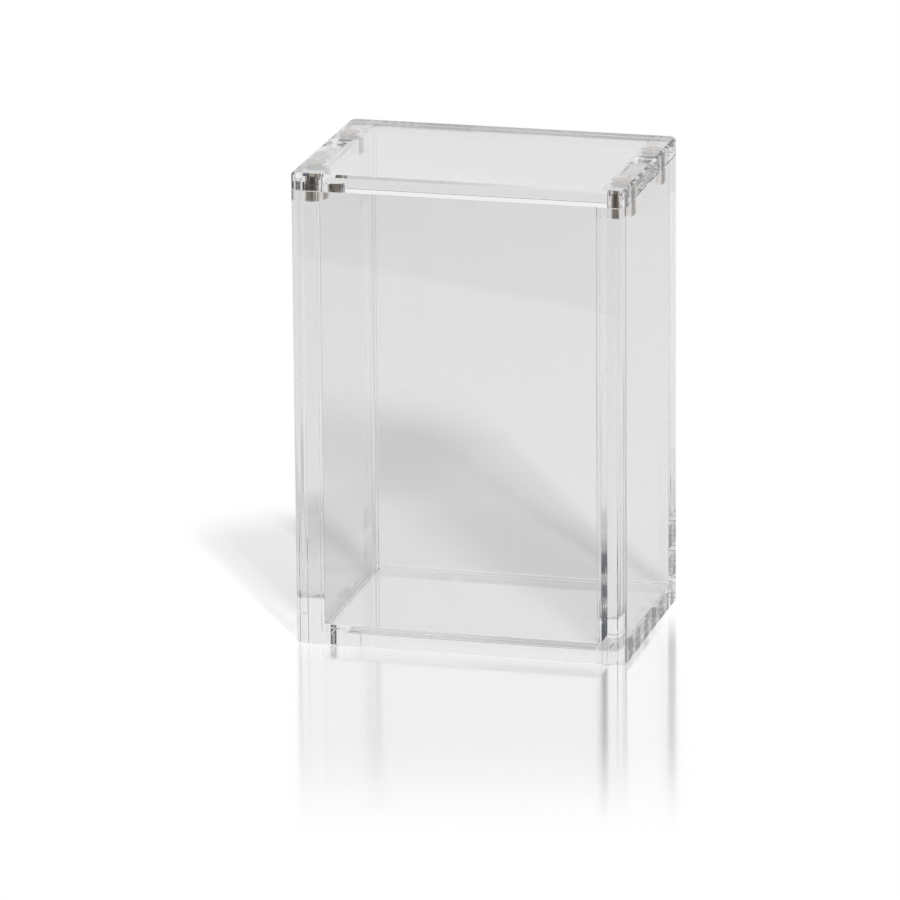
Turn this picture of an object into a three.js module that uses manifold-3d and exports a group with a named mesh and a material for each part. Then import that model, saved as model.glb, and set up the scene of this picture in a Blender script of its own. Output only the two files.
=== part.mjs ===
// A clear acrylic display case: five welded panels, and a flat lid that lifts off.
// Pairs of round magnets in the lid and in the thick side panels hold the lid shut.
// Millimetres, +Z up, front at -Y, origin at the middle of the underside.

import * as THREE from 'three';
import { mergeVertices } from 'three/addons/utils/BufferGeometryUtils.js';
import Module from 'manifold-3d';

const wasm = await Module();
wasm.setup();

// The space inside
const INSIDE_WIDTH = 82;
const INSIDE_DEPTH = 57;
const INSIDE_HEIGHT = 130;

// Sheet thicknesses
const BASE_THICKNESS = 5;
const FRONT_THICKNESS = 5;
const BACK_THICKNESS = 5;
const SIDE_THICKNESS = 8;
const LID_THICKNESS = 5;

// Worked edges: the lid and the side panels share their rounded upright corners
const CORNER_RADIUS = 2.5;
const LID_TOP_CHAMFER = 0.7;

// Magnets: their axes stand in the middle of the side panels' thickness
const MAGNET_DIAMETER = 6;
const MAGNET_RIM_CHAMFER = 0.3;
const MAGNET_FROM_END = 15;
const MAGNET_GAP = 0.3;
const MAGNET_SINK = 0.15;
const SIDE_MAGNET_HEIGHT = 5;
const LID_SKIN = 0.85;

// Finger scoops, arched into the lid's underside between the magnets
const SCOOP_ROOF = 2;
const SCOOP_LAND = 2.7;
const SCOOP_SEAL = 1.5;

// Facets of round shapes
const ROUND_STEPS = 32;
const CORNER_STEPS = 5;
const SCOOP_STEPS = 120;

// How far a cutter stands out of the piece that it cuts
const CUTTER_OVERRUN = 2;

// Places worked out from the sizes above
const INNER_X = INSIDE_WIDTH / 2;
const OUTER_X = INNER_X + SIDE_THICKNESS;
const FRONT_Y = -(INSIDE_DEPTH + FRONT_THICKNESS + BACK_THICKNESS) / 2;
const BACK_Y = -FRONT_Y;
const RIM_Z = BASE_THICKNESS + INSIDE_HEIGHT;
const TOP_Z = RIM_Z + LID_THICKNESS;

const MAGNET_X = INNER_X + SIDE_THICKNESS / 2;
const MAGNET_Y = BACK_Y - MAGNET_FROM_END;
const SOCKET_RADIUS = MAGNET_DIAMETER / 2 + MAGNET_GAP;
const SIDE_SOCKET_FLOOR = RIM_Z - SIDE_MAGNET_HEIGHT - MAGNET_SINK;
const LID_SOCKET_ROOF = TOP_Z - LID_SKIN;

const SCOOP_HALF_LENGTH = MAGNET_Y - SOCKET_RADIUS - SCOOP_LAND;
const SCOOP_RISE = LID_THICKNESS - SCOOP_ROOF;
const SCOOP_REACH = SIDE_THICKNESS - SCOOP_SEAL;
const SCOOP_RADIUS = (SCOOP_HALF_LENGTH ** 2 + SCOOP_RISE ** 2) / (2 * SCOOP_RISE);

const SIDES = { left: -1, right: 1 };
const ENDS = { front: -1, back: 1 };

// Clear cast acrylic, one material for each panel
function acrylic() {
  return new THREE.MeshStandardMaterial({
    color: 0xf2f5f5,
    roughness: 0.03,
    metalness: 0,
    transparent: true,
    opacity: 0.3,
  });
}

// Bright nickel plating
function nickel() {
  return new THREE.MeshStandardMaterial({ color: 0xb4aca0, roughness: 0.22, metalness: 1 });
}

function solidOf(geometry) {
  const bare = geometry.clone();
  bare.deleteAttribute('normal');
  bare.deleteAttribute('uv');
  const merged = mergeVertices(bare);
  return new wasm.Manifold(new wasm.Mesh({
    numProp: 3,
    vertProperties: new Float32Array(merged.attributes.position.array),
    triVerts: new Uint32Array(merged.index.array),
  }));
}

function geometryOf(solid) {
  const mesh = solid.getMesh();
  const geometry = new THREE.BufferGeometry();
  geometry.setAttribute('position', new THREE.BufferAttribute(new Float32Array(mesh.vertProperties), 3));
  geometry.setIndex(new THREE.BufferAttribute(new Uint32Array(mesh.triVerts), 1));
  geometry.computeVertexNormals();
  return geometry;
}

function cutFrom(geometry, cutters) {
  const solid = cutters.reduce((left, cutter) => left.subtract(solidOf(cutter)), solidOf(geometry));
  return geometryOf(solid);
}

function boxBetween(low, high) {
  const size = high.map((value, axis) => value - low[axis]);
  const middle = high.map((value, axis) => (value + low[axis]) / 2);
  return new THREE.BoxGeometry(...size).translate(...middle);
}

// A closed solid through rings of points, each ring at its own height, lowest first
function stackOf(rings) {
  const count = rings[0].points.length;
  const position = rings.flatMap(({ points, z }) => points.flatMap((point) => [point.x, point.y, z]));
  const faces = [];
  for (let level = 0; level + 1 < rings.length; level += 1) {
    for (let k = 0; k < count; k += 1) {
      const here = level * count + k;
      const next = level * count + ((k + 1) % count);
      faces.push(here, next, next + count, here, next + count, here + count);
    }
  }
  const last = (rings.length - 1) * count;
  const cap = THREE.ShapeUtils.triangulateShape(rings[0].points, []);
  cap.forEach(([a, b, c]) => faces.push(a, c, b, last + a, last + b, last + c));
  const geometry = new THREE.BufferGeometry();
  geometry.setAttribute('position', new THREE.Float32BufferAttribute(position, 3));
  geometry.setIndex(faces);
  geometry.computeVertexNormals();
  return geometry;
}

// A quarter round at one upright corner of the case, drawn in by an inset
function cornerArc(sx, sy, startAngle, inset) {
  const radius = CORNER_RADIUS - inset;
  return Array.from({ length: CORNER_STEPS + 1 }, (_, k) => {
    const angle = startAngle + (k / CORNER_STEPS) * (Math.PI / 2);
    return new THREE.Vector2(
      sx * (OUTER_X - CORNER_RADIUS) + radius * Math.cos(angle),
      sy * (BACK_Y - CORNER_RADIUS) + radius * Math.sin(angle),
    );
  });
}

function lidOutline(inset) {
  const corners = [[1, 1], [-1, 1], [-1, -1], [1, -1]];
  return corners.flatMap(([sx, sy], k) => cornerArc(sx, sy, k * (Math.PI / 2), inset));
}

// An upright round cutter for a magnet's socket, between two heights
function socketCutter(x, y, low, high) {
  return new THREE.CylinderGeometry(SOCKET_RADIUS, SOCKET_RADIUS, high - low, ROUND_STEPS)
    .rotateX(Math.PI / 2)
    .translate(x, y, (low + high) / 2);
}

// A lying round cutter that arches a finger scoop into the lid's edge
function scoopCutter(side) {
  const length = SCOOP_REACH + CUTTER_OVERRUN;
  return new THREE.CylinderGeometry(SCOOP_RADIUS, SCOOP_RADIUS, length, SCOOP_STEPS)
    .rotateZ(Math.PI / 2)
    .translate(side * (OUTER_X - SCOOP_REACH + length / 2), 0, RIM_Z + SCOOP_RISE - SCOOP_RADIUS);
}

// A disc magnet with its rims taken off, standing on z = 0
function magnetGeometry(height) {
  const radius = MAGNET_DIAMETER / 2;
  const profile = [
    [0, 0],
    [radius - MAGNET_RIM_CHAMFER, 0],
    [radius, MAGNET_RIM_CHAMFER],
    [radius, height - MAGNET_RIM_CHAMFER],
    [radius - MAGNET_RIM_CHAMFER, height],
    [0, height],
  ].map(([r, z]) => new THREE.Vector2(r, z));
  return new THREE.LatheGeometry(profile, ROUND_STEPS).rotateX(Math.PI / 2);
}

function basePlate() {
  return boxBetween([-INNER_X, FRONT_Y, 0], [INNER_X, BACK_Y, BASE_THICKNESS]);
}

function frontPanel() {
  return boxBetween([-INNER_X, FRONT_Y, BASE_THICKNESS], [INNER_X, FRONT_Y + FRONT_THICKNESS, RIM_Z]);
}

function backPanel() {
  return boxBetween([-INNER_X, BACK_Y - BACK_THICKNESS, BASE_THICKNESS], [INNER_X, BACK_Y, RIM_Z]);
}

// A full-height side panel with its outer upright edges rounded and sockets in its top edge
function sidePanel(side) {
  const outline = [
    new THREE.Vector2(INNER_X, FRONT_Y),
    ...cornerArc(1, -1, -Math.PI / 2, 0),
    ...cornerArc(1, 1, 0, 0),
    new THREE.Vector2(INNER_X, BACK_Y),
  ].map((point) => new THREE.Vector2(side * point.x, point.y));
  if (side < 0) outline.reverse();
  const slab = stackOf([{ points: outline, z: 0 }, { points: outline, z: RIM_Z }]);
  const sockets = Object.values(ENDS).map((end) => socketCutter(
    side * MAGNET_X,
    end * MAGNET_Y,
    SIDE_SOCKET_FLOOR,
    RIM_Z + CUTTER_OVERRUN,
  ));
  return cutFrom(slab, sockets);
}

function lidPlate() {
  const plate = stackOf([
    { points: lidOutline(0), z: RIM_Z },
    { points: lidOutline(0), z: TOP_Z - LID_TOP_CHAMFER },
    { points: lidOutline(LID_TOP_CHAMFER), z: TOP_Z },
  ]);
  const cutters = Object.values(SIDES).flatMap((side) => [
    scoopCutter(side),
    ...Object.values(ENDS).map((end) => socketCutter(
      side * MAGNET_X,
      end * MAGNET_Y,
      RIM_Z - CUTTER_OVERRUN,
      LID_SOCKET_ROOF,
    )),
  ]);
  return cutFrom(plate, cutters);
}

function piece(name, geometry, material) {
  const mesh = new THREE.Mesh(geometry, material);
  mesh.name = name;
  return mesh;
}

// The welded case: the base, front and back stand between the two side panels
const caseGroup = new THREE.Group();
caseGroup.add(piece('base_plate', basePlate(), acrylic()));
caseGroup.add(piece('front_panel', frontPanel(), acrylic()));
caseGroup.add(piece('back_panel', backPanel(), acrylic()));

// The lid, with the magnets that are let into it from below
const lidGroup = new THREE.Group();
lidGroup.add(piece('lid_plate', lidPlate(), acrylic()));

const lidMagnetHeight = LID_SOCKET_ROOF - RIM_Z - MAGNET_SINK;
Object.entries(SIDES).forEach(([sideName, side]) => {
  caseGroup.add(piece(`${sideName}_side_panel`, sidePanel(side), acrylic()));
  Object.entries(ENDS).forEach(([endName, end]) => {
    const lower = piece(`side_magnet_${endName}_${sideName}`, magnetGeometry(SIDE_MAGNET_HEIGHT), nickel());
    lower.position.set(side * MAGNET_X, end * MAGNET_Y, SIDE_SOCKET_FLOOR);
    caseGroup.add(lower);
    const upper = piece(`lid_magnet_${endName}_${sideName}`, magnetGeometry(lidMagnetHeight), nickel());
    upper.position.set(side * MAGNET_X, end * MAGNET_Y, RIM_Z + MAGNET_SINK);
    lidGroup.add(upper);
  });
});

const displayCase = new THREE.Group();
displayCase.add(caseGroup, lidGroup);

export default displayCase;
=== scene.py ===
"""The looks of a clear acrylic display case: welded panels, a lift-off lid and its round magnets."""

import math

import bmesh
import bpy
from mathutils import Matrix, Vector


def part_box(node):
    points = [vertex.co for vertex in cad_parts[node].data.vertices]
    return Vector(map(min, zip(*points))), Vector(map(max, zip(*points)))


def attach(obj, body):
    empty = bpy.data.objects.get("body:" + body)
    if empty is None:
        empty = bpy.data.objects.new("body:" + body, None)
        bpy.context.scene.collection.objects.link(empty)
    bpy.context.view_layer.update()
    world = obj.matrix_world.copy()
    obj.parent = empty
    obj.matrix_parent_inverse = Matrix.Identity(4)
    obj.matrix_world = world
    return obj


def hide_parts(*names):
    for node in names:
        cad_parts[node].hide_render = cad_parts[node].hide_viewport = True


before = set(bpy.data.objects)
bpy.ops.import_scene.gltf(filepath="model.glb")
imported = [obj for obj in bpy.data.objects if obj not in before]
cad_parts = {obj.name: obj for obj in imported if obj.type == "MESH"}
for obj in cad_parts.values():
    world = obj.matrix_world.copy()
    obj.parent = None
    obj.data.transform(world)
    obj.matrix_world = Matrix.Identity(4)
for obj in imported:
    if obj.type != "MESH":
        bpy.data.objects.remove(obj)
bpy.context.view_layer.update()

MM = 0.001

# Worked edges of the sheet
EDGE_BREAK = 0.14 * MM
LID_CHAMFER = 0.7 * MM
CORNER_RADIUS = 2.5 * MM
SHARP_ANGLE = math.radians(20)

# Air left under the lid, which stays dry on the rim
RIM_GAP = 0.05 * MM

# Magnets and the sockets that they sit in
SOCKET_GAP = 0.3 * MM
SOCKET_FLOOR_GAP = 0.03 * MM
MAGNET_RIM_RADIUS = 0.3 * MM
MAGNET_RIM_STEPS = 4

# Finger scoops, arched into the lid's underside
SCOOP_HALF_LENGTH = 12.5 * MM
SCOOP_RISE = 3 * MM
SCOOP_REACH = 6.5 * MM

# Facets of round shapes, and how far a cutter stands out of what it cuts
ROUND_STEPS = 96
CORNER_STEPS = 16
SCOOP_STEPS = 720
OVERRUN = 2 * MM

# Clear sheet: what passes through a flat face, a polished edge and a joint line
ACRYLIC_IOR = 1.49
ACRYLIC_TINT = (0.963, 0.9595, 0.9615, 1)
THICK_TINT = (0.932, 0.931, 0.931, 1)
FACE_TINT = {"base": ACRYLIC_TINT, "end": ACRYLIC_TINT, "side": THICK_TINT, "lid": ACRYLIC_TINT}
EDGE_TINT = (0.888, 0.888, 0.892, 1)
LID_EDGE_TINT = (0.99, 0.99, 0.99, 1)
JOINT_TINT = (0.42, 0.42, 0.43, 1)

# Share of the lamp's light that a face keeps from the table; an edge leads light away inside the sheet
FACE_SHADOW = {"base": 0.0, "end": 0.03, "side": 0.28, "lid": 0.35}
EDGE_SHADOW = 0.15
BACK_EDGE_SHADOW = 0.85
LID_EDGE_SHADOW = 0.9

# Wear of the polish: smears, specks of dust and a slight ripple
SMEAR_SCALE = 45
SMEAR_DETAIL = 4
SMEAR_SWIRL = 1.2
SMEAR_EDGE = (0.5, 0.8)
SMEAR_ROUGHNESS = 0.012
DUST_SCALE = 110
DUST_EDGE = (0.03, 0.02)
DUST_ROUGHNESS = 0.5
FACE_RIPPLE_SCALE = 60
EDGE_RIPPLE_SCALE = 90
RIPPLE_DETAIL = 2
RIPPLE_STRENGTH = 0.03
RIPPLE_HEIGHT = 0.05 * MM

# Length of one wave of the wave texture at a scale of 1
WAVE_LENGTH = math.pi / 10

# Marks in the weld between the base plate and the side panels
WELD_GAP_SPACING = 9.6 * MM
WELD_GAP_WANDER = 1.5
WELD_GAP_EDGE = (0.6, 0.75)
WELD_GAP_SHINE = 0.85
SAW_LINE_SPACING = 1.3 * MM
SAW_LINE_WANDER = 0.5
SAW_LINE_EDGE = (0.4, 0.9)
SAW_LINE_SHINE = 0.22
STRIPE_DETAIL_SCALE = 2
SAWN_ROUGHNESS = 0.1

# Nickel plating
NICKEL_DARK = (0.36, 0.31, 0.26, 1)
NICKEL_BRIGHT = (0.52, 0.47, 0.41, 1)
NICKEL_ROUGHNESS = (0.08, 0.2)
GRAIN_SCALE = 900
GRAIN_DETAIL = 6
GRAIN_EDGE = (0.35, 0.65)
GRAIN_STRENGTH = 0.15
GRAIN_HEIGHT = 0.02 * MM

# Camera, solved on the case's edges
CAMERA_YAW = math.radians(14.73)
CAMERA_PITCH = math.radians(16.21)
CAMERA_ROLL = math.radians(-0.45)
CAMERA_DISTANCE = 2.3236
CAMERA_TARGET = Vector((-0.01106, 0, 0.05085))
CAMERA_LENS = 320
CAMERA_SENSOR = 36

# How often light may turn inside the sheet, which guides it from edge to edge
LIGHT_PATH_LENGTH = 32

# Stage: a pale table that ends in front of the case, in a dim room
TABLE_SIZE = 3.0
TABLE_FRONT = 0.36
TABLE_TURN = math.radians(21.3)
TABLE_DROP = 0.05 * MM
TABLE_COLOUR = (0.607, 0.598, 0.607, 1)
GLOW_COLOUR = (0.998, 1, 0.972, 1)
SHADOW_DEPTH = 2.2
WHITE_GLOW = 0.14
PALE_GLOW = 0.34
SHINE = 0.62
SHINE_ROUGHNESS = 0.1
SHINE_NEAR = (-0.2, -0.103)
SHINE_FAR = (0.01, -0.03)
SHINE_LEFT = (-0.062, -0.054)
SHINE_RIGHT = (0.062, 0.058)
# Zone left of the case where the camera sees the table's real shadow; beyond it the table is painted
# plain white over any shade
SHADOW_MIDDLE = (-0.07, 0.021, 0)
SHADOW_REACH = (0.05, 0.085, 1)
SHADOW_FADE = (0.5, 0)
BACKDROP_COLOUR = (0.93, 0.925, 0.927, 1)
ROOM_COLOUR = (0.07, 0.08, 0.095, 1)
ROOM_FLOOR_COLOUR = (0.4, 0.395, 0.4, 1)
ROOM_FLOOR_EDGE = (-0.03, -0.13)
BACKDROP_EDGE = (0.2, 0.7)
FILL_STRENGTH = 0.25
LAMP_PLACE = Vector((1.8, -2.66, 2.3))
LAMP_AIM = Vector((0, 0, 0.05))
LAMP_SIZE = 0.5
LAMP_POWER = 160

WHITE = (1, 1, 1, 1)

# Places of the materials on a panel; the last one differs from panel to panel
FACE, WELD, EDGE = 0, 1, 2
SAWN = BACK_EDGE = JOINT = 3

# How far a broken upright edge leans to both its neighbours
UPRIGHT_BREAK_LEAN = 0.5

# How close to a plane a flat face's corners lie, and how close a cut snaps to a corner
FLATNESS = 1e-7
CUT_SNAP = 1e-8

X, Y, Z = 0, 1, 2

SIDES = {"left": -1, "right": 1}
ENDS = ("front", "back")

base_low, base_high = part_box("base_plate")
front_low, front_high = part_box("front_panel")
back_low, back_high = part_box("back_panel")
lid_low, lid_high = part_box("lid_plate")


def new_material(name):
    material = bpy.data.materials.new(name)
    material.use_nodes = True
    nodes = material.node_tree.nodes
    return material, nodes, material.node_tree.links, nodes["Principled BSDF"]


def ramp(nodes, links, value, ends, levels):
    """A value that goes from one level to another between two ends."""
    step = nodes.new("ShaderNodeMapRange")
    step.inputs["From Min"].default_value, step.inputs["From Max"].default_value = ends
    step.inputs["To Min"].default_value, step.inputs["To Max"].default_value = levels
    links.new(value, step.inputs["Value"])
    return step.outputs["Result"]


def smooth_step(nodes, links, value, ends):
    """A value that goes softly from 0 to 1 between two ends."""
    result = ramp(nodes, links, value, ends, (0, 1))
    result.node.interpolation_type = "SMOOTHSTEP"
    return result


def combined(nodes, links, operation, values):
    """Two or more values, added, multiplied or compared one after the other."""
    result = values[0]
    for value in values[1:]:
        step = nodes.new("ShaderNodeMath")
        step.operation = operation
        links.new(result, step.inputs[0])
        links.new(value, step.inputs[1])
        result = step.outputs["Value"]
    return result


def scaled(nodes, links, value, factor):
    times = nodes.new("ShaderNodeMath")
    times.operation = "MULTIPLY"
    times.inputs[1].default_value = factor
    links.new(value, times.inputs[0])
    return times.outputs["Value"]


def through_factor(nodes, links, path):
    """1 for what is seen in a reflection or through the clear sheet."""
    rays = [path.outputs["Is Glossy Ray"], path.outputs["Is Transmission Ray"]]
    return combined(nodes, links, "MAXIMUM", rays)


def noise(nodes, links, place, scale, detail):
    texture = nodes.new("ShaderNodeTexNoise")
    texture.inputs["Scale"].default_value = scale
    texture.inputs["Detail"].default_value = detail
    links.new(place, texture.inputs["Vector"])
    return texture


def raised(nodes, links, height, strength, distance):
    """The normal of a surface that is raised by a height."""
    bump = nodes.new("ShaderNodeBump")
    bump.inputs["Strength"].default_value = strength
    bump.inputs["Distance"].default_value = distance
    links.new(height, bump.inputs["Height"])
    return bump.outputs["Normal"]


def acrylic_material(name, ripple_scale, shadow, tint):
    """Clear cast acrylic: faint smears, a few specks of dust and a slight ripple in its polish."""
    material, nodes, links, shader = new_material(name)
    # Rays to the lamp go straight through, less what the face keeps
    path = nodes.new("ShaderNodeLightPath")
    shade = nodes.new("ShaderNodeMath")
    shade.operation = "MULTIPLY_ADD"
    shade.inputs[1].default_value = shadow - 1
    shade.inputs[2].default_value = 1
    links.new(path.outputs["Is Shadow Ray"], shade.inputs[0])
    links.new(shade.outputs["Value"], shader.inputs["Alpha"])
    shader.inputs["Base Color"].default_value = tint
    shader.inputs["IOR"].default_value = ACRYLIC_IOR
    shader.inputs["Transmission Weight"].default_value = 1
    place = nodes.new("ShaderNodeTexCoord").outputs["Object"]

    smears = noise(nodes, links, place, SMEAR_SCALE, SMEAR_DETAIL)
    smears.inputs["Distortion"].default_value = SMEAR_SWIRL
    smeared = ramp(nodes, links, smears.outputs["Fac"], SMEAR_EDGE, (0, SMEAR_ROUGHNESS))

    dust = nodes.new("ShaderNodeTexVoronoi")
    dust.inputs["Scale"].default_value = DUST_SCALE
    links.new(place, dust.inputs["Vector"])
    dusty = ramp(nodes, links, dust.outputs["Distance"], DUST_EDGE, (0, DUST_ROUGHNESS))
    links.new(combined(nodes, links, "ADD", [smeared, dusty]), shader.inputs["Roughness"])

    waves = noise(nodes, links, place, ripple_scale, RIPPLE_DETAIL)
    bump = raised(nodes, links, waves.outputs["Fac"], RIPPLE_STRENGTH, RIPPLE_HEIGHT)
    links.new(bump, shader.inputs["Normal"])
    return material


def weld_material():
    """The solvent weld: nothing shows where two panels have become one."""
    material, _, _, shader = new_material("solvent_weld")
    shader.inputs["Base Color"].default_value = ACRYLIC_TINT
    shader.inputs["IOR"].default_value = ACRYLIC_IOR
    shader.inputs["Alpha"].default_value = 0
    return material


def stripes(nodes, links, place, spacing, wander, ends, height):
    """Stripes across the depth of the case, between 0 and a height."""
    wave = nodes.new("ShaderNodeTexWave")
    wave.bands_direction = "Y"
    wave.inputs["Scale"].default_value = WAVE_LENGTH / spacing
    wave.inputs["Distortion"].default_value = wander
    wave.inputs["Detail Scale"].default_value = STRIPE_DETAIL_SCALE
    links.new(place, wave.inputs["Vector"])
    return ramp(nodes, links, wave.outputs["Fac"], ends, (0, height))


def sawn_weld_material():
    """The weld along the base plate's sawn ends: gaps that mirror the light, and fine saw lines."""
    material, nodes, links, shader = new_material("sawn_weld")
    shader.inputs["Base Color"].default_value = ACRYLIC_TINT
    shader.inputs["Metallic"].default_value = 1
    shader.inputs["Roughness"].default_value = SAWN_ROUGHNESS
    place = nodes.new("ShaderNodeTexCoord").outputs["Object"]
    gaps = stripes(nodes, links, place, WELD_GAP_SPACING, WELD_GAP_WANDER, WELD_GAP_EDGE, WELD_GAP_SHINE)
    lines = stripes(nodes, links, place, SAW_LINE_SPACING, SAW_LINE_WANDER, SAW_LINE_EDGE, SAW_LINE_SHINE)
    links.new(combined(nodes, links, "MAXIMUM", [gaps, lines]), shader.inputs["Alpha"])
    return material


def nickel_material():
    """Bright nickel plating with a fine grain and warm, uneven gloss."""
    material, nodes, links, shader = new_material("nickel_plating")
    shader.inputs["Metallic"].default_value = 1
    place = nodes.new("ShaderNodeTexCoord").outputs["Object"]
    grain = noise(nodes, links, place, GRAIN_SCALE, GRAIN_DETAIL).outputs["Fac"]
    colour = nodes.new("ShaderNodeValToRGB")
    dark, bright = colour.color_ramp.elements
    dark.color, bright.color = NICKEL_DARK, NICKEL_BRIGHT
    dark.position, bright.position = GRAIN_EDGE
    links.new(grain, colour.inputs["Fac"])
    links.new(colour.outputs["Color"], shader.inputs["Base Color"])
    links.new(ramp(nodes, links, grain, (0, 1), NICKEL_ROUGHNESS), shader.inputs["Roughness"])
    links.new(raised(nodes, links, grain, GRAIN_STRENGTH, GRAIN_HEIGHT), shader.inputs["Normal"])
    return material


acrylic = {
    name: acrylic_material(f"acrylic_{name}_sheet", FACE_RIPPLE_SCALE, shadow, FACE_TINT[name])
    for name, shadow in FACE_SHADOW.items()
}
acrylic_edge = acrylic_material("acrylic_polished_edge", EDGE_RIPPLE_SCALE, EDGE_SHADOW, EDGE_TINT)
acrylic_joint = acrylic_material("acrylic_joint_line", EDGE_RIPPLE_SCALE, EDGE_SHADOW, JOINT_TINT)
acrylic_back_edge = acrylic_material("acrylic_back_edge", EDGE_RIPPLE_SCALE, BACK_EDGE_SHADOW, EDGE_TINT)
acrylic_lid_edge = acrylic_material("acrylic_lid_edge", EDGE_RIPPLE_SCALE, LID_EDGE_SHADOW, LID_EDGE_TINT)
weld = weld_material()
sawn_weld = sawn_weld_material()
nickel = nickel_material()


def new_piece(name, bm, materials):
    """A mesh object from a bmesh."""
    mesh = bpy.data.meshes.new(name)
    bmesh.ops.recalc_face_normals(bm, faces=bm.faces)
    bm.to_mesh(mesh)
    bm.free()
    for material in materials:
        mesh.materials.append(material)
    piece = bpy.data.objects.new(name, mesh)
    bpy.context.scene.collection.objects.link(piece)
    return piece


def settle(piece):
    """Turns what a piece's modifiers make of it into its own mesh."""
    graph = bpy.context.evaluated_depsgraph_get()
    worked = piece.evaluated_get(graph)
    mesh = bpy.data.meshes.new_from_object(worked, preserve_all_data_layers=True, depsgraph=graph)
    piece.modifiers.clear()
    piece.data = mesh


def smooth_rounds(piece):
    """Smooth across round faces only, with the flat faces beside them kept flat."""
    piece.data.polygons.foreach_set("use_smooth", [True] * len(piece.data.polygons))
    piece.data.set_sharp_from_angle(angle=SHARP_ANGLE)
    modifier = piece.modifiers.new("flat", "WEIGHTED_NORMAL")
    modifier.keep_sharp = True
    settle(piece)


def stand_for(piece, node, body):
    smooth_rounds(piece)
    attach(piece, body)
    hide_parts(node)


def box_mesh(low, high):
    bm = bmesh.new()
    bmesh.ops.create_cube(bm, size=1)
    for vert in bm.verts:
        vert.co = Vector(low[k] + (vert.co[k] + 0.5) * (high[k] - low[k]) for k in range(3))
    return bm


def stacked_mesh(levels):
    """A closed mesh through outlines with as many points each, given with their heights, lowest first."""
    bm = bmesh.new()
    rings = [[bm.verts.new((x, y, height)) for x, y in points] for points, height in levels]
    count = len(rings[0])
    for lower, upper in zip(rings, rings[1:]):
        for k in range(count):
            after = (k + 1) % count
            bm.faces.new((lower[k], lower[after], upper[after], upper[k])).material_index = EDGE
    bm.faces.new(list(reversed(rings[0])))
    bm.faces.new(rings[-1])
    return bm


def faces_in_plane(bm, axis, place):
    return [
        face for face in bm.faces
        if all(abs(vert.co[axis] - place) < FLATNESS for vert in face.verts)
    ]


def split_plane(bm, axis, place, cuts):
    """Lines across the flat faces in one plane, each given as the axis that it crosses and where."""
    for across, where in cuts:
        faces = faces_in_plane(bm, axis, place)
        edges = {edge for face in faces for edge in face.edges}
        verts = {vert for face in faces for vert in face.verts}
        normal = Vector(1 if k == across else 0 for k in range(3))
        geom = [*verts, *edges, *faces]
        bmesh.ops.bisect_plane(bm, geom=geom, dist=CUT_SNAP, plane_co=normal * where, plane_no=normal)


def mark(bm, axis, place, index, low=None, high=None):
    """Gives a material to the flat faces in one plane whose middle lies between two corners."""
    for face in faces_in_plane(bm, axis, place):
        middle = face.calc_center_median()
        others = [k for k in range(3) if k != axis]
        if low is None or all(low[k] < middle[k] < high[k] for k in others):
            face.material_index = index


def cylinder_mesh(middle, radius, low, high, axis, steps):
    bm = bmesh.new()
    bmesh.ops.create_cone(
        bm, cap_ends=True, segments=steps, radius1=radius, radius2=radius, depth=high - low
    )
    if axis == X:
        bmesh.ops.rotate(bm, verts=bm.verts, matrix=Matrix.Rotation(math.pi / 2, 3, "Y"))
    along = Vector((low + high) / 2 if k == axis else middle[k] for k in range(3))
    bmesh.ops.translate(bm, verts=bm.verts, vec=along)
    return bm


def cut_from(piece, cutters):
    """Cuts closed meshes out of a piece."""
    tools = [new_piece("cutter", cutter, [acrylic_edge]) for cutter in cutters]
    for tool in tools:
        modifier = piece.modifiers.new("cut", "BOOLEAN")
        modifier.operation = "DIFFERENCE"
        modifier.solver = "EXACT"
        modifier.object = tool
        modifier.material_mode = "INDEX"
    settle(piece)
    for tool in tools:
        bpy.data.objects.remove(tool)


def corner_arc(sx, sy, turn, inset):
    """A quarter round at one upright corner of the case, drawn in by an inset."""
    radius = CORNER_RADIUS - inset
    middle_x, middle_y = sx * (lid_high.x - CORNER_RADIUS), sy * (lid_high.y - CORNER_RADIUS)
    angles = [(turn + step / CORNER_STEPS) * math.pi / 2 for step in range(CORNER_STEPS + 1)]
    return [(middle_x + radius * math.cos(a), middle_y + radius * math.sin(a)) for a in angles]


def socket(node, in_lid):
    """The cutter of the blind hole round a magnet."""
    low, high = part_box(node)
    middle = (low + high) / 2
    radius = (high.x - low.x) / 2 + SOCKET_GAP
    if in_lid:
        bottom, top = lid_low.z - OVERRUN, high.z + SOCKET_FLOOR_GAP
    else:
        bottom, top = low.z - SOCKET_FLOOR_GAP, lid_low.z + OVERRUN
    return cylinder_mesh(middle, radius, bottom, top, Z, ROUND_STEPS)


def panel_between(low, high, weld_planes):
    """A flat panel that is welded by some of its flat edges."""
    bm = box_mesh(low, high)
    edges = list(bm.edges)
    bmesh.ops.bevel(bm, geom=edges, offset=EDGE_BREAK, segments=1, affect="EDGES", clamp_overlap=True)
    thin = min(range(3), key=lambda k: high[k] - low[k])
    for axis in range(3):
        if axis != thin:
            mark(bm, axis, low[axis], EDGE)
            mark(bm, axis, high[axis], EDGE)
    for axis, place in weld_planes:
        mark(bm, axis, place, WELD)
    return bm


def base_plate():
    bm = panel_between(base_low, base_high, [])
    front_line = front_high.y - EDGE_BREAK
    back_line = back_low.y + EDGE_BREAK
    split_plane(bm, Z, base_high.z, [(Y, front_line), (Y, back_line)])
    mark(bm, Z, base_high.z, WELD, base_low, Vector((base_high.x, front_line, 0)))
    mark(bm, Z, base_high.z, WELD, Vector((base_low.x, back_line, 0)), base_high)
    for place in (base_low.x, base_high.x):
        mark(bm, X, place, SAWN)
    piece = new_piece("base_plate_sheet", bm, [acrylic["base"], weld, acrylic_edge, sawn_weld])
    stand_for(piece, "base_plate", "case")


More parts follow.
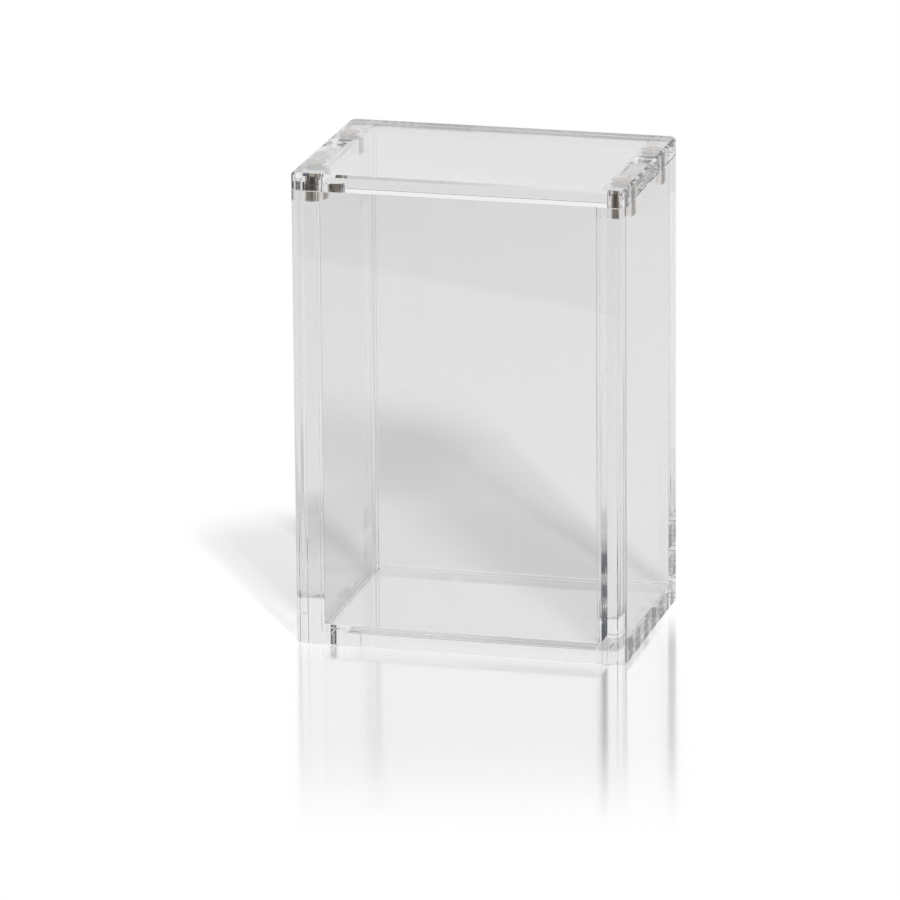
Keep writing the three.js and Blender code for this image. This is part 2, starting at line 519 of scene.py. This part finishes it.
def end_panel(node, low, high):
    top = high - Vector((0, 0, RIM_GAP))
    bm = panel_between(low, top, [(X, low.x), (X, high.x), (Z, low.z)])
    bm.normal_update()
    for face in bm.faces:
        if min(abs(face.normal.x), abs(face.normal.y)) > UPRIGHT_BREAK_LEAN:
            face.material_index = JOINT
    piece = new_piece(node + "_sheet", bm, [acrylic["end"], weld, acrylic_edge, acrylic_joint])
    stand_for(piece, node, "case")


def side_outline(side, inset):
    """A side panel's outline, drawn in by an inset, with its outer corners as arcs."""
    inner = base_high.x + inset
    end = lid_high.y - inset
    points = [
        (inner, EDGE_BREAK - end),
        (inner + EDGE_BREAK, -end),
        *corner_arc(1, -1, -1, inset),
        *corner_arc(1, 1, 0, inset),
        (inner + EDGE_BREAK, end),
        (inner, end - EDGE_BREAK),
    ]
    return points if side > 0 else [(-x, y) for x, y in reversed(points)]


def side_panel(side_name, side):
    node = side_name + "_side_panel"
    low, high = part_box(node)
    high.z -= RIM_GAP
    inner_x = side * base_high.x
    bm = stacked_mesh([
        (side_outline(side, EDGE_BREAK), low.z),
        (side_outline(side, 0), low.z + EDGE_BREAK),
        (side_outline(side, 0), high.z - EDGE_BREAK),
        (side_outline(side, EDGE_BREAK), high.z),
    ])
    for place in (low.x, high.x):
        mark(bm, X, place, FACE)
    for place in (low.z, high.z):
        mark(bm, Z, place, EDGE)
    front_line = front_high.y - EDGE_BREAK
    back_line = back_low.y + EDGE_BREAK
    below = base_high.z - EDGE_BREAK
    above = base_high.z + EDGE_BREAK
    split_plane(bm, X, inner_x, [(Z, below), (Z, above), (Y, front_line), (Y, back_line)])
    mark(bm, X, inner_x, WELD, low, Vector((0, high.y, below)))
    mark(bm, X, inner_x, WELD, Vector((0, low.y, above)), Vector((0, front_line, high.z)))
    mark(bm, X, inner_x, WELD, Vector((0, back_line, above)), high)
    for face in bm.faces:
        if face.material_index == EDGE and face.calc_center_median().y > back_low.y:
            face.material_index = BACK_EDGE
    piece = new_piece(node + "_sheet", bm, [acrylic["side"], weld, acrylic_edge, acrylic_back_edge])
    cut_from(piece, [socket(f"side_magnet_{end}_{side_name}", False) for end in ENDS])
    stand_for(piece, node, "case")


def scoop(side):
    radius = (SCOOP_HALF_LENGTH ** 2 + SCOOP_RISE ** 2) / (2 * SCOOP_RISE)
    middle = Vector((0, 0, lid_low.z + SCOOP_RISE - radius))
    reach = sorted((side * (lid_high.x - SCOOP_REACH), side * (lid_high.x + OVERRUN)))
    return cylinder_mesh(middle, radius, *reach, X, SCOOP_STEPS)


def lid_outline(inset):
    """The lid's outline, drawn in by an inset."""
    corners = [(1, 1), (-1, 1), (-1, -1), (1, -1)]
    return [point for turn, (sx, sy) in enumerate(corners) for point in corner_arc(sx, sy, turn, inset)]


def lid_plate():
    bottom, top = lid_low.z, lid_high.z
    bm = stacked_mesh([
        (lid_outline(EDGE_BREAK), bottom),
        (lid_outline(0), bottom + EDGE_BREAK),
        (lid_outline(0), top - LID_CHAMFER),
        (lid_outline(LID_CHAMFER), top),
    ])
    piece = new_piece("lid_plate_sheet", bm, [acrylic["lid"], weld, acrylic_lid_edge])
    cutters = [scoop(side) for side in SIDES.values()]
    for side_name in SIDES:
        cutters.extend(socket(f"lid_magnet_{end}_{side_name}", True) for end in ENDS)
    cut_from(piece, cutters)
    stand_for(piece, "lid_plate", "lid")


def magnet(node, body):
    """A disc magnet with softly rounded rims."""
    low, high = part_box(node)
    radius = (high.x - low.x) / 2
    inner = radius - MAGNET_RIM_RADIUS
    middle_x, middle_y = (low.x + high.x) / 2, (low.y + high.y) / 2
    arc = [math.pi / 2 * step / MAGNET_RIM_STEPS for step in range(MAGNET_RIM_STEPS + 1)]
    steps = [(MAGNET_RIM_RADIUS * math.cos(a), MAGNET_RIM_RADIUS * math.sin(a)) for a in arc]
    profile = [(inner + sine, low.z + MAGNET_RIM_RADIUS - cosine) for cosine, sine in steps]
    profile += [(inner + cosine, high.z - MAGNET_RIM_RADIUS + sine) for cosine, sine in steps]
    turns = [2 * math.pi * step / ROUND_STEPS for step in range(ROUND_STEPS)]
    levels = []
    for ring_radius, height in profile:
        ring = [
            (middle_x + ring_radius * math.cos(turn), middle_y + ring_radius * math.sin(turn))
            for turn in turns
        ]
        levels.append((ring, height))
    bm = stacked_mesh(levels)
    for face in bm.faces:
        face.material_index = FACE
    piece = new_piece(node + "_disc", bm, [nickel])
    stand_for(piece, node, body)


def build_case():
    base_plate()
    end_panel("front_panel", front_low, front_high)
    end_panel("back_panel", back_low, back_high)
    for side_name, side in SIDES.items():
        side_panel(side_name, side)
    lid_plate()
    for side_name in SIDES:
        for end in ENDS:
            magnet(f"side_magnet_{end}_{side_name}", "case")
            magnet(f"lid_magnet_{end}_{side_name}", "lid")


def table_material():
    """A table that is white to the eye and pale through the sheet, with a shine that fades in front."""
    material, nodes, links, shader = new_material("white_table")
    nodes.remove(shader)
    path = nodes.new("ShaderNodeLightPath")
    diffuse = nodes.new("ShaderNodeBsdfDiffuse")
    paint = nodes.new("ShaderNodeMix")
    paint.data_type = "RGBA"
    paint.inputs["A"].default_value = TABLE_COLOUR
    paint.inputs["B"].default_value = [SHADOW_DEPTH * part for part in TABLE_COLOUR]
    links.new(path.outputs["Is Camera Ray"], paint.inputs["Factor"])
    links.new(paint.outputs["Result"], diffuse.inputs["Color"])
    glow = nodes.new("ShaderNodeEmission")
    glow.inputs["Color"].default_value = GLOW_COLOUR
    strength = combined(nodes, links, "ADD", [
        scaled(nodes, links, path.outputs["Is Camera Ray"], WHITE_GLOW),
        scaled(nodes, links, through_factor(nodes, links, path), PALE_GLOW),
    ])
    links.new(strength, glow.inputs["Strength"])
    lit = nodes.new("ShaderNodeAddShader")
    links.new(diffuse.outputs["BSDF"], lit.inputs[0])
    links.new(glow.outputs["Emission"], lit.inputs[1])

    # Beyond the shadow zone the camera sees the table painted plain white, over any shadow there; inside
    # it the lit table keeps its real shadow
    place = nodes.new("ShaderNodeNewGeometry")
    near = nodes.new("ShaderNodeMapping")
    near.vector_type = "TEXTURE"
    near.inputs["Location"].default_value = SHADOW_MIDDLE
    near.inputs["Rotation"].default_value = (0, 0, CAMERA_YAW)
    near.inputs["Scale"].default_value = SHADOW_REACH
    links.new(place.outputs["Position"], near.inputs["Vector"])
    fade = nodes.new("ShaderNodeTexGradient")
    fade.gradient_type = "SPHERICAL"
    links.new(near.outputs["Vector"], fade.inputs["Vector"])
    white = nodes.new("ShaderNodeEmission")
    white.inputs["Color"].default_value = WHITE
    far_white = combined(nodes, links, "MULTIPLY", [
        path.outputs["Is Camera Ray"],
        smooth_step(nodes, links, fade.outputs["Fac"], SHADOW_FADE),
    ])
    faded = nodes.new("ShaderNodeMixShader")
    links.new(far_white, faded.inputs["Fac"])
    links.new(lit.outputs["Shader"], faded.inputs[1])
    links.new(white.outputs["Emission"], faded.inputs[2])

    turned = nodes.new("ShaderNodeMapping")
    turned.vector_type = "TEXTURE"
    turned.inputs["Rotation"].default_value = (0, 0, CAMERA_YAW)
    links.new(place.outputs["Position"], turned.inputs["Vector"])
    apart = nodes.new("ShaderNodeSeparateXYZ")
    links.new(turned.outputs["Vector"], apart.inputs["Vector"])
    shine_mask = combined(nodes, links, "MULTIPLY", [
        path.outputs["Is Camera Ray"],
        smooth_step(nodes, links, apart.outputs["Y"], SHINE_NEAR),
        smooth_step(nodes, links, apart.outputs["Y"], SHINE_FAR),
        smooth_step(nodes, links, apart.outputs["X"], SHINE_LEFT),
        smooth_step(nodes, links, apart.outputs["X"], SHINE_RIGHT),
    ])
    shine = nodes.new("ShaderNodeBsdfGlossy")
    shine.inputs["Color"].default_value = [1 / part for part in BACKDROP_COLOUR]
    shine.inputs["Roughness"].default_value = SHINE_ROUGHNESS
    mix = nodes.new("ShaderNodeMixShader")
    links.new(scaled(nodes, links, shine_mask, SHINE), mix.inputs["Fac"])
    links.new(faded.outputs["Shader"], mix.inputs[1])
    links.new(shine.outputs["BSDF"], mix.inputs[2])
    links.new(mix.outputs["Shader"], nodes["Material Output"].inputs["Surface"])
    return material


def build_table():
    corners = [
        (-TABLE_SIZE, -TABLE_FRONT),
        (TABLE_SIZE, -TABLE_FRONT),
        (TABLE_SIZE, TABLE_SIZE),
        (-TABLE_SIZE, TABLE_SIZE),
    ]
    mesh = bpy.data.meshes.new("table")
    mesh.from_pydata([(x, y, -TABLE_DROP) for x, y in corners], [], [(0, 1, 2, 3)])
    mesh.materials.append(table_material())
    table = bpy.data.objects.new("table", mesh)
    table.rotation_euler.z = TABLE_TURN
    bpy.context.scene.collection.objects.link(table)


def build_world():
    """White to the eye, pale straight through the sheet, dim in front for what the sheet reflects."""
    world = bpy.data.worlds.new("studio")
    bpy.context.scene.world = world
    world.use_nodes = True
    nodes, links = world.node_tree.nodes, world.node_tree.links
    path = nodes.new("ShaderNodeLightPath")
    fill = nodes["Background"]
    fill.inputs["Color"].default_value = WHITE
    fill.inputs["Strength"].default_value = FILL_STRENGTH

    direction = nodes.new("ShaderNodeTexCoord")
    apart = nodes.new("ShaderNodeSeparateXYZ")
    links.new(direction.outputs["Generated"], apart.inputs["Vector"])
    room = nodes.new("ShaderNodeMix")
    room.data_type = "RGBA"
    room.inputs["A"].default_value = ROOM_COLOUR
    room.inputs["B"].default_value = ROOM_FLOOR_COLOUR
    links.new(smooth_step(nodes, links, apart.outputs["Z"], ROOM_FLOOR_EDGE), room.inputs["Factor"])
    colour = nodes.new("ShaderNodeMix")
    colour.data_type = "RGBA"
    links.new(room.outputs["Result"], colour.inputs["A"])
    colour.inputs["B"].default_value = BACKDROP_COLOUR
    # No reflection and no matt surface on the way: the sheet is only looked through
    seen_through = nodes.new("ShaderNodeMath")
    seen_through.operation = "LESS_THAN"
    seen_through.inputs[1].default_value = 1
    depths = [path.outputs["Glossy Depth"], path.outputs["Diffuse Depth"]]
    links.new(combined(nodes, links, "ADD", depths), seen_through.inputs[0])
    pale = combined(nodes, links, "MAXIMUM", [
        smooth_step(nodes, links, apart.outputs["Y"], BACKDROP_EDGE),
        seen_through.outputs["Value"],
    ])
    links.new(pale, colour.inputs["Factor"])
    studio = nodes.new("ShaderNodeBackground")
    links.new(colour.outputs["Result"], studio.inputs["Color"])

    inner = nodes.new("ShaderNodeMixShader")
    links.new(through_factor(nodes, links, path), inner.inputs["Fac"])
    links.new(fill.outputs["Background"], inner.inputs[1])
    links.new(studio.outputs["Background"], inner.inputs[2])
    white = nodes.new("ShaderNodeBackground")
    white.inputs["Color"].default_value = WHITE
    outer = nodes.new("ShaderNodeMixShader")
    links.new(path.outputs["Is Camera Ray"], outer.inputs["Fac"])
    links.new(inner.outputs["Shader"], outer.inputs[1])
    links.new(white.outputs["Background"], outer.inputs[2])
    links.new(outer.outputs["Shader"], nodes["World Output"].inputs["Surface"])


def build_lamp():
    """A soft lamp, at the front on the right, that doesn't show in the sheet or the magnets."""
    lamp = bpy.data.lights.new("softbox", "AREA")
    lamp.shape = "SQUARE"
    lamp.size = LAMP_SIZE
    lamp.energy = LAMP_POWER
    lamp_object = bpy.data.objects.new("softbox", lamp)
    lamp_object.location = LAMP_PLACE
    lamp_object.rotation_mode = "QUATERNION"
    lamp_object.rotation_quaternion = (LAMP_AIM - LAMP_PLACE).to_track_quat("-Z", "Y")
    lamp_object.visible_glossy = False
    lamp_object.visible_transmission = False
    bpy.context.scene.collection.objects.link(lamp_object)


def build_camera():
    back = Vector((
        math.sin(CAMERA_YAW) * math.cos(CAMERA_PITCH),
        -math.cos(CAMERA_YAW) * math.cos(CAMERA_PITCH),
        math.sin(CAMERA_PITCH),
    ))
    level_right = (-back).cross(Vector((0, 0, 1))).normalized()
    level_up = level_right.cross(-back)
    cos_roll, sin_roll = math.cos(CAMERA_ROLL), math.sin(CAMERA_ROLL)
    right = cos_roll * level_right + sin_roll * level_up
    up = -sin_roll * level_right + cos_roll * level_up
    data = bpy.data.cameras.new("camera")
    data.lens = CAMERA_LENS
    data.sensor_width = CAMERA_SENSOR
    camera = bpy.data.objects.new("camera", data)
    turn = Matrix((right, up, back)).transposed().to_4x4()
    camera.matrix_world = Matrix.Translation(CAMERA_TARGET + back * CAMERA_DISTANCE) @ turn
    bpy.context.scene.collection.objects.link(camera)
    bpy.context.scene.camera = camera


build_camera()
build_case()
build_table()
build_world()
build_lamp()
bpy.context.scene.view_settings.view_transform = "Standard"
for limit in ("max_bounces", "glossy_bounces", "transmission_bounces", "transparent_max_bounces"):
    setattr(bpy.context.scene.cycles, limit, LIGHT_PATH_LENGTH)
